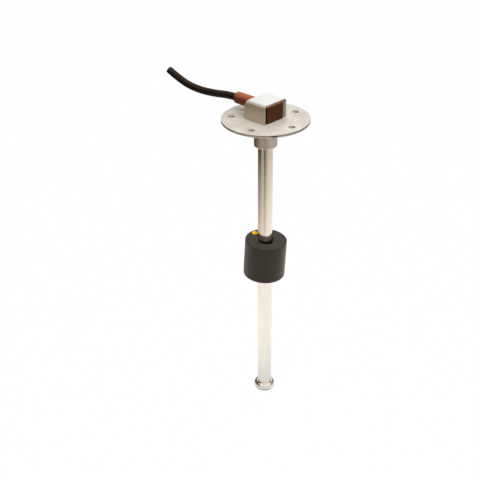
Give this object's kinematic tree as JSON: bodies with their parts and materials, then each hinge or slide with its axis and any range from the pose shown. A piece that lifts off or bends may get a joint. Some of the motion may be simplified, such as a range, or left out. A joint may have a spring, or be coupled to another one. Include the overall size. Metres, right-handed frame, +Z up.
{
  "type": "tank level sender",
  "caption": "Float-type tank level sender: a steel stem with a sliding ring float and an end stop, hung from a round bolted flange with a cabled head.",
  "frame": {"origin": "centre of the flange's seat, its lower face, on the stem's axis", "axes": "+Z up the stem towards the head, +X from the cable's exit to the closed end of the head, +Y by the right-hand rule"},
  "size_m": [0.1461, 0.07, 0.2763],
  "materials": {
    "flange_steel": "satin stainless sheet",
    "collar_steel": "turned stainless, faint turning lines",
    "tube_steel": "polished stainless tube",
    "stop_steel": "polished turned stainless",
    "bracket_steel": "satin stainless sheet",
    "brown_moulding": "satin dark brown moulding",
    "sleeve_moulding": "semi-gloss brown moulding",
    "cable_jacket": "satin black cable jacket",
    "float_foam": "matte black closed-cell foam",
    "magnet_ferrite": "pressed dark grey ferrite",
    "mark_yellow": "matte yellow mark",
    "strip_board": "green circuit board",
    "reed_glass": "clear greenish glass",
    "lead_wire": "tinned wire",
    "chip_black": "black chip body",
    "solder_tin": "bright solder",
    "core_red": "red core insulation",
    "core_black": "black core insulation",
    "spacer_white": "white moulding",
    "seal_resin": "black casting resin"
  },
  "bodies": {
    "stem": {"mounting_flange": "flange_steel", "tube_collar": "collar_steel", "sensor_tube": "tube_steel", "end_stop": "stop_steel", "head_bracket": "bracket_steel", "head_block": "brown_moulding", "cable_sleeve": "sleeve_moulding", "cable": "cable_jacket", "circuit_strip": "strip_board", "reed_switches": "reed_glass", "reed_leads": "lead_wire", "chip_resistors": "chip_black", "solder_joints": "solder_tin", "signal_core": "core_red", "ground_core": "core_black", "strip_spacers": "spacer_white", "tube_seal": "seal_resin"},
    "float": {"float_body": "float_foam", "float_magnet": "magnet_ferrite", "float_mark": "mark_yellow"}
  },
  "joints": [
    {"name": "float_slide", "type": "slide", "parent": "stem", "child": "float", "axis": [0, 0, 1], "range_m": [-0.111, 0.083]}
  ]
}
